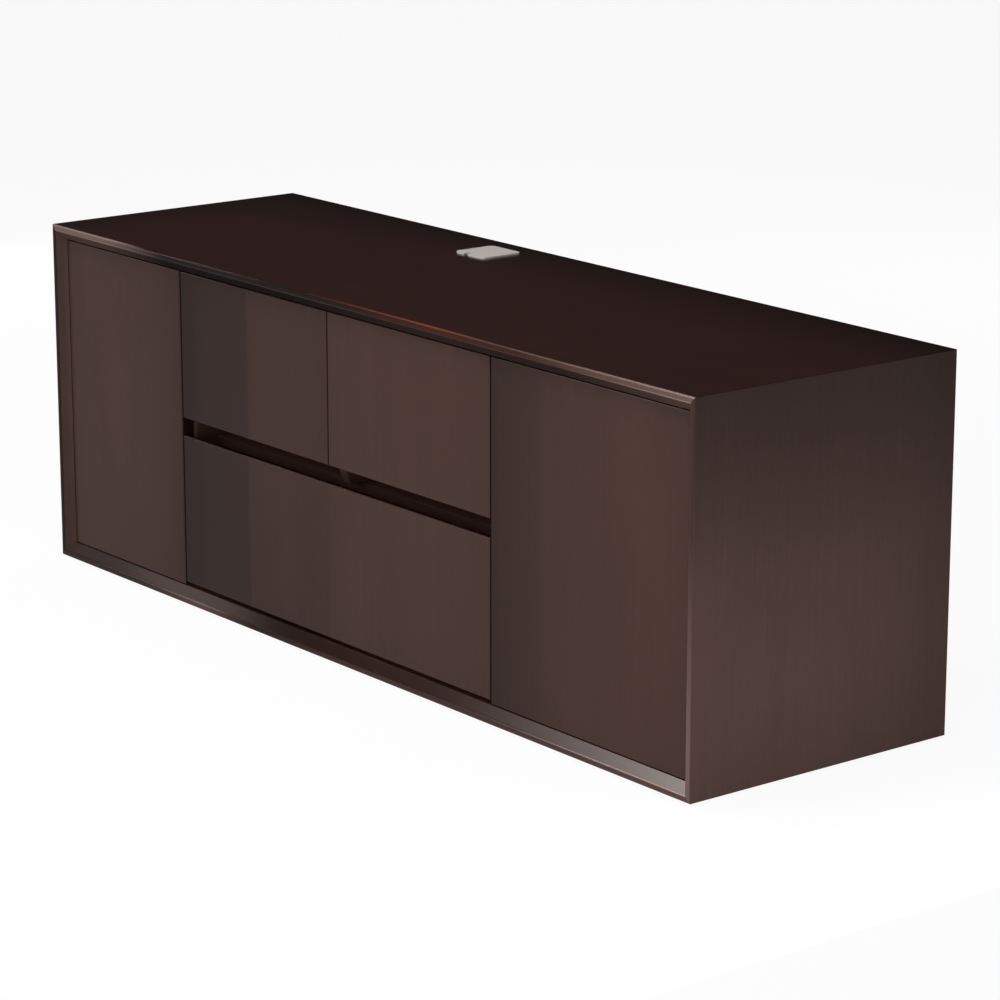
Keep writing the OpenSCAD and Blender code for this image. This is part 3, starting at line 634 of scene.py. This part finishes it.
# The pivots are darkened like black nickel, though their slot is bright nickel: painted shade that keeps them
# from glinting in the gaps round the doors
nickelInPaintedShade = plainMaterial("nickelSteelPaintedShade", "35332f", "43403b", 1.0, 0.36, 3.0, 0.003)
turnedBrass = plainMaterial("turnedBrass", "b6924b", "cfae68", 1.0, 0.24, 1.5, 0.004)
greyAbs = plainMaterial("satinGreyAbs", "bdb6b2", "c9c2be", 0.0, 0.42, 0.8, 0.012, ior=1.53)
greyNylon = plainMaterial("mouldedGreyNylon", "a3a6a9", "b2b5b7", 0.0, 0.48, 0.8, 0.012, ior=1.53)
blackAcetal = plainMaterial("mouldedBlackAcetal", "161617", "222224", 0.0, 0.38, 0.8, 0.01, ior=1.48)
blackNylon = plainMaterial("mouldedBlackNylon", "141415", "202022", 0.0, 0.5, 0.8, 0.012, ior=1.53)
softRubber = plainMaterial("clearPolyurethane", "cfcfc6", "dadad2", 0.0, 0.3, 1.0, 0.006, ior=1.5,
                           transmission=0.5)
print("materials: plywood, metals and plastics")

nodeMaterials = {
    "left_partition": veneerPartition, "centre_partition": veneerPartition, "right_partition": veneerPartition,
    "centre_shelf": veneerShelf, "door_pivot_pins": nickelInPaintedShade,
}
slotMaterials = {
    "veneer_top": veneerTop,
    "veneer_frame": veneerFrame,
    "veneer_front": veneerFront,
    "veneer_inside": veneerInside,
    "slide_zinc": zincSteel,
    "ball_steel": ballSteel,
    "nickel": nickelSteel,
    "brass_bush": turnedBrass,
    "grommet_grey": greyAbs,
    "latch_grey": greyNylon,
    "latch_black": blackAcetal,
    "glide_nylon": blackNylon,
    "clear_rubber": softRubber,
}
slotOf = {part["node"]: part["material_slot"] for part in frame["record"]["subparts"]}


def dressNodes():
    # Gives each imported node the finish of its slot, or the one that nodeMaterials lists for it; a plywood
    # board's plies follow its thin side
    for name, slot in slotOf.items():
        if slot == "drawer_ply":
            low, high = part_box(name)
            size = [high[i] - low[i] for i in range(3)]
            thin = size.index(min(size))
            grain = size.index(max(size))
            material = plywoodMaterial("birchPlywood" + str(len(bpy.data.materials)), thin, grain, low[thin])
        else:
            material = nodeMaterials.get(name, slotMaterials[slot])
        nodes[name].data.materials.clear()
        nodes[name].data.materials.append(material)


dressNodes()
print("materials: given to the nodes")

# The mitred frame
topLow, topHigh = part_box("top_panel")
bottomLow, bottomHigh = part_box("bottom_panel")
leftDoorLow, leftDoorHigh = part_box("left_door")
grommetLow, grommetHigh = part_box("grommet_frame")
frameBoards = {
    "arris": 3.0,            # mm, rounding of the front arris on the outer face
    "landArris": 5.0,        # between the narrow edge and the chamfer
    "innerArris": 0.8,
    "backArris": 1.0,
    "mitreArris": 1.2,       # rounding of the outer corner where two boards meet
    "grommetHole": 34.0,     # half the width of the hole in the top
    "grommetCorner": 10.0,
    "arcSteps": 6,
}
boardNode = {"topBoard": "top_panel", "bottomBoard": "bottom_panel",
             "leftBoard": "left_side", "rightBoard": "right_side"}


def frameBoard(name, half, material, axes, origin, hole=None):
    size = frameBoards
    depth = topHigh.y - topLow.y
    thick = topHigh.z - topLow.z
    recess = leftDoorLow.y - topLow.y
    corners = [(-depth / 2, 0), (-depth / 2, recess - thick), (-depth / 2 + recess, -thick),
               (depth / 2, -thick), (depth / 2, 0)]
    radii = [size[k] * mm for k in ("arris", "landArris", "innerArris", "backArris", "backArris")]
    outline, normals = roundedOutline(corners, radii, size["arcSteps"])
    points, across = mitredEnds(outline, normals, half, size["mitreArris"] * mm)
    parts = []
    without = []
    if hole is not None:
        # The outer and the inner face are the middle cells that join the back arcs to the front ones
        middle = points.shape[0] // 2 - 1
        last = points.shape[1] - 1
        outer, inner = (middle, last), (middle, last - 2 * (size["arcSteps"] + 1))
        without = [outer, inner]
        for (station, step), z, up in ((outer, 0.0, 1.0), (inner, -thick, -1.0)):
            turned = (step + 1) % points.shape[1]
            cell = [points[station, step], points[station, turned],
                    points[station + 1, turned], points[station + 1, step]]
            loop = np.column_stack([hole, np.full(len(hole), z)])
            parts.append(flatFace(cell, (0, 0, up), [loop]))
        ring = np.stack([np.column_stack([hole, np.full(len(hole), z)]) for z in (0.0, -thick)])
        centre = ring.mean(1, keepdims=True)
        parts.append(gridFaces(ring, (centre - ring) / np.linalg.norm(centre - ring, axis=2, keepdims=True)))
    parts.append(gridFaces(points, across, without))
    parts.extend(capFaces(points))
    return meshPiece(name, placed(parts, axes, origin), material, "cabinet", [boardNode[name]])


def finishSlope(mesh, material, down, forwards=0.6):
    # Gives another finish to the faces whose normal points at least this much down and this much forwards
    mesh.materials.append(material)
    facing = np.empty(3 * len(mesh.polygons), np.float32)
    mesh.polygons.foreach_get("normal", facing)
    facing = facing.reshape(-1, 3)
    under = (facing[:, 1] < -forwards) & (facing[:, 2] < -down)
    mesh.polygons.foreach_set("material_index", under.astype(np.int32))


def roundedSquare(half, corner, steps=6):
    # A square with round corners about the origin, anticlockwise
    corners = [(-half, -half), (half, -half), (half, half), (-half, half)]
    return roundedOutline(corners, [corner] * 4, steps)[0]


def makeFrame():
    halfWidth = topHigh.x
    halfHeight = (topHigh.z - bottomLow.z) / 2
    middle = (topHigh.z + bottomLow.z) / 2
    centre = ((grommetLow.x + grommetHigh.x) / 2, (grommetLow.y + grommetHigh.y) / 2)
    hole = roundedSquare(frameBoards["grommetHole"] * mm, frameBoards["grommetCorner"] * mm) + centre
    board = frameBoard("topBoard", halfWidth, veneerTop,
                       ((1, 0, 0), (0, 1, 0), (0, 0, 1)), (0, 0, topHigh.z), hole)
    # The chamfer under the top takes the underside finish, which carries painted shade
    finishSlope(board.data, undersideVeneer, 0.6)    # sealed but not polished
    frameBoard("bottomBoard", halfWidth, veneerBottom,
               ((1, 0, 0), (0, 1, 0), (0, 0, -1)), (0, 0, bottomLow.z))
    frameBoard("rightBoard", halfHeight, veneerRight,
               ((0, 0, 1), (0, 1, 0), (1, 0, 0)), (halfWidth, 0, middle))
    frameBoard("leftBoard", halfHeight, veneerLeft,
               ((0, 0, 1), (0, 1, 0), (-1, 0, 0)), (-halfWidth, 0, middle))


makeFrame()
print("frame boards: four, mitred")

# Doors and drawer fronts
fronts = {
    "arris": 1.2,         # mm, rounding of the arrises round the face
    "backArris": 0.8,
    "bushDepth": 12.4,
    "gripLand": 4.0,
    "gripRise": 16.0,
}


def makeDoor(side):
    low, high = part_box(side + "_door")
    bushLow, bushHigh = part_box(side + "_door_bushes")
    face, back = fronts["arris"] * mm, fronts["backArris"] * mm
    corners = [(low.x, low.y), (high.x, low.y), (high.x, high.y), (low.x, high.y)]
    outline, normals = roundedOutline(corners, [face, face, back, back])
    points, across = squareEnds(outline, normals, low.z, high.z, back)
    radius = (bushHigh.x - bushLow.x) / 2
    middle = ((bushLow.x + bushHigh.x) / 2, (bushLow.y + bushHigh.y) / 2)
    # a circle in four arcs: a square whose corners are rounded by all but a thousandth of its half side
    ring = roundedSquare(radius, radius * 0.999, 10) + middle
    bores = {end: np.column_stack([np.full(len(ring), z), ring]) for end, z in ((0, low.z), (-1, high.z))}
    parts = [gridFaces(points, across), *capFaces(points, list(bores.items()))]
    parts.extend(blindHole(bores[0], (1, 0, 0), fronts["bushDepth"] * mm))
    parts.extend(blindHole(bores[-1], (-1, 0, 0), fronts["bushDepth"] * mm))
    axes = ((0, 0, 1), (1, 0, 0), (0, 1, 0))
    meshPiece(side + "DoorLeaf", placed(parts, axes), veneerFront, side + "_door",
              [side + "_door"])


def makeDrawerFront(name, gripBelow):
    low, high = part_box(name + "_front")
    land, rise = fronts["gripLand"] * mm, fronts["gripRise"] * mm
    face, back = fronts["arris"] * mm, fronts["backArris"] * mm
    if gripBelow:
        rear = [(low.y + land, low.z), (high.y, low.z + rise), (high.y, high.z)]
    else:
        rear = [(high.y, low.z), (high.y, high.z - rise), (low.y + land, high.z)]
    corners = [(low.y, low.z), *rear, (low.y, high.z)]
    outline, normals = roundedOutline(corners, [face, back, back, back, face])
    points, across = squareEnds(outline, normals, low.x, high.x, back)
    parts = [gridFaces(points, across), *capFaces(points)]
    meshPiece(camelName(name) + "DrawerFront", parts, veneerFront,
              name + "_drawer", [name + "_front"])


for side in ("left", "right"):
    makeDoor(side)
for name, gripBelow in (("upper_left", True), ("upper_right", True), ("lower", False)):
    makeDrawerFront(name, gripBelow)
print("fronts: two doors and three drawers")

# Pieces whose shape is packed and whose edges only need easing, with the width in mm
easedEdges = {
    "grommet_frame": 0.5, "grommet_lid": 0.4,
    "left_partition": 0.6, "right_partition": 0.6, "centre_partition": 0.6, "centre_shelf": 0.6,
    "left_loose_shelf": 0.8, "right_loose_shelf": 0.8, "back_panel": 0.6, "glides": 1.2,
    "left_latch_housing": 0.5, "right_latch_housing": 0.5,
}
boxEdge = 0.9    # mm, on the rims of the drawer boxes


def easeEdges():
    for node, width in easedEdges.items():
        eased(node, camelName(node), width)
    for drawer in ("upper_left", "upper_right", "lower"):
        for board in ("front", "left_side", "right_side", "back"):
            node = drawer + "_box_" + board
            eased(node, camelName(node), boxEdge)


easeEdges()
finishSlope(bpy.data.objects["centrePartition"].data, veneerInside, 0.3)    # its foot, behind the finger gap
print("edges: eased")

# The floor, the light and the background
studio = {
    "floorSize": 60.0,
    "floorColour": "d6d6d6",
    "white": 1.03,           # what the camera sees, a little over 1 to make up for the floor's own share
    "inGloss": 0.28,         # the same pale room in the lacquer's reflections, away from the lamps
    "shadowShare": 0.1,     # how much of the floor's own shading the camera sees
    "domeLight": 0.22,
    "screenRadius": 7.0,
    "screenHeight": 12.0,
    "screenSides": 48,
    "screenLevel": 0.018,
}


def backgroundRays(tree):
    # Camera, glossy and transmission rays see the plain background: 1 for any of them, and its strength
    path = addNode(tree, "ShaderNodeLightPath")
    direct = addNode(tree, "ShaderNodeMath", {"operation": "ADD", "use_clamp": True},
                     {0: path.outputs["Is Camera Ray"], 1: path.outputs["Is Transmission Ray"]})
    every = addNode(tree, "ShaderNodeMath", {"operation": "ADD", "use_clamp": True},
                    {0: direct.outputs[0], 1: path.outputs["Is Glossy Ray"]})
    white, inGloss = studio["white"], studio["inGloss"]
    strength = addNode(tree, "ShaderNodeMapRange", {"To Min": inGloss, "To Max": white},
                       {"Value": direct.outputs[0]})
    return every.outputs[0], strength.outputs["Result"]


def stageMesh(name, points, faces, material, glossOnly=False):
    mesh = bpy.data.meshes.new(name)
    mesh.from_pydata([tuple(p) for p in points], [], [tuple(f) for f in faces])
    mesh.materials.append(material)
    thing = bpy.data.objects.new(name, mesh)
    bpy.context.scene.collection.objects.link(thing)
    if glossOnly:
        thing.visible_camera = False
        thing.visible_diffuse = False
        thing.visible_shadow = False
        thing.visible_transmission = False
    return thing


def makeFloor():
    material, tree = newMaterial("paleFloor")
    matt = addNode(tree, "ShaderNodeBsdfDiffuse", {"Color": linear(studio["floorColour"])})
    rays, strength = backgroundRays(tree)
    glow = addNode(tree, "ShaderNodeEmission", links={"Strength": strength})
    share = addNode(tree, "ShaderNodeMath", {"operation": "MULTIPLY", 1: 1 - studio["shadowShare"]}, {0: rays})
    mixed = addNode(tree, "ShaderNodeMixShader",
                    links={0: share.outputs[0], 1: matt.outputs[0], 2: glow.outputs[0]})
    finishMaterial(tree, mixed)
    half = studio["floorSize"] / 2
    stageMesh("floor", [(-half, -half, 0), (half, -half, 0), (half, half, 0), (-half, half, 0)], [(0, 1, 2, 3)],
              material)


def makeScreen():
    # A dark screen round the room, seen only in reflections, which keeps the lacquered top deep
    material, tree = newMaterial("darkScreen")
    level = studio["screenLevel"]
    glow = addNode(tree, "ShaderNodeEmission", {"Color": (level, level, level, 1.0), "Strength": 1.0})
    finishMaterial(tree, glow)
    turn = np.linspace(0, 2 * math.pi, studio["screenSides"] + 1)[:-1]
    ring = studio["screenRadius"] * np.column_stack([np.cos(turn), np.sin(turn)])
    count = len(ring)
    points = np.concatenate([np.column_stack([ring, np.full(count, z)]) for z in (0.0, studio["screenHeight"])])
    k = np.arange(count)
    after = (k + 1) % count
    walls = np.column_stack([k, after, after + count, k + count])
    stageMesh("darkScreen", points, walls.tolist(), material, True)


def makeWorld():
    world = bpy.data.worlds.new("paleRoom")
    bpy.context.scene.world = world
    world.use_nodes = True
    tree = world.node_tree
    tree.nodes.clear()
    rays, background = backgroundRays(tree)
    strength = addNode(tree, "ShaderNodeMapRange", {"To Min": studio["domeLight"]},
                       {"Value": rays, "To Max": background})
    shown = addNode(tree, "ShaderNodeBackground", {"Color": (1, 1, 1, 1)},
                    {"Strength": strength.outputs["Result"]})
    addNode(tree, "ShaderNodeOutputWorld", links={"Surface": shown.outputs[0]})


# Soft boxes: where each stands, what it faces, its width and height in metres and its brightness
softBoxes = {
    "frontKey": {"place": (-0.2, -3.0, 1.0), "aim": (0, -0.25, 0.25), "size": (3.6, 1.4), "radiance": 3.1,
                 "inGloss": True},
    "overFront": {"place": (0, -0.85, 2.2), "aim": (0, -0.1, 0.6), "size": (3.2, 0.7), "radiance": 5.2},
    "rightLow": {"place": (1.35, -0.4, 0.16), "aim": (0.85, -0.4, 0.16), "size": (1.4, 0.28), "radiance": 2.7},
    "leftFill": {"place": (-3.6, 0.2, 0.8), "aim": (-0.85, 0, 0.35), "size": (2.4, 1.2), "radiance": 2.4},
    "backFill": {"place": (-1.2, 3.6, 1.6), "aim": (-0.3, 0, 0.3), "size": (3.0, 1.4), "radiance": 2.6},
}
# Bright cards to the left that the lacquer reflects. y and z are the card's reach, in metres, and the
# levels are its brightness at heights z
cardWall = {"x": -3.0, "tint": (1.0, 0.9, 0.86)}
cards = {
    "chamferRight": {"y": (-3.2, -1.45), "z": (2.6, 4.2),
                     "levels": [(2.6, 0.8), (2.81, 1.4), (2.98, 2.9), (3.15, 4.4), (3.27, 6.4), (3.42, 9.5),
                                (4.2, 9.5)]},
    "chamferLeft": {"y": (-1.45, -0.85), "z": (1.2, 1.86),
                    "levels": [(1.2, 0.4), (1.48, 0.5), (1.54, 1.2), (1.84, 1.3), (1.86, 0.6)]},
    "arrisLeft": {"y": (-1.15, -0.9), "z": (2.15, 2.5), "levels": [(2.15, 7.0), (2.5, 7.0)]},
    "landRight": {"y": (-4.4, -3.05), "z": (0.6, 2.0), "levels": [(0.6, 7.0), (2.0, 7.0)]},
    "landLeft": {"y": (-2.15, -1.8), "z": (0.4, 0.9), "levels": [(0.4, 5.0), (0.9, 5.0)]},
}


def makeSoftBox(name, box):
    light = bpy.data.lights.new(name, "AREA")
    light.shape = "RECTANGLE"
    light.size, light.size_y = box["size"]
    # a flat lamp of radiance L and area A gives pi L A watts
    light.energy = math.pi * box["radiance"] * box["size"][0] * box["size"][1]
    lamp = bpy.data.objects.new(name, light)
    lamp.location = box["place"]
    aim = Vector(box["aim"]) - Vector(box["place"])
    lamp.rotation_euler = aim.to_track_quat("-Z", "Y").to_euler()
    lamp.visible_camera = False
    lamp.visible_glossy = box.get("inGloss", False)
    bpy.context.scene.collection.objects.link(lamp)


def makeCard(name, card):
    material, tree = newMaterial(name)
    spot = addNode(tree, "ShaderNodeTexCoord").outputs["Object"]
    most = max(level for z, level in card["levels"])
    tone = rampAlong(tree, spot, zAxis, [(1000 * z, level / most) for z, level in card["levels"]],
                     cardWall["tint"])
    glow = addNode(tree, "ShaderNodeEmission", {"Strength": most}, {"Color": tone})
    finishMaterial(tree, glow)
    (y0, y1), (z0, z1) = card["y"], card["z"]
    x = cardWall["x"]
    stageMesh(name, [(x, y0, z0), (x, y1, z0), (x, y1, z1), (x, y0, z1)], [(0, 1, 2, 3)], material, True)


makeFloor()
makeScreen()
makeWorld()
for name, box in softBoxes.items():
    makeSoftBox(name, box)
for name, card in cards.items():
    makeCard(name, card)
print("studio: floor, screen, soft boxes and cards")
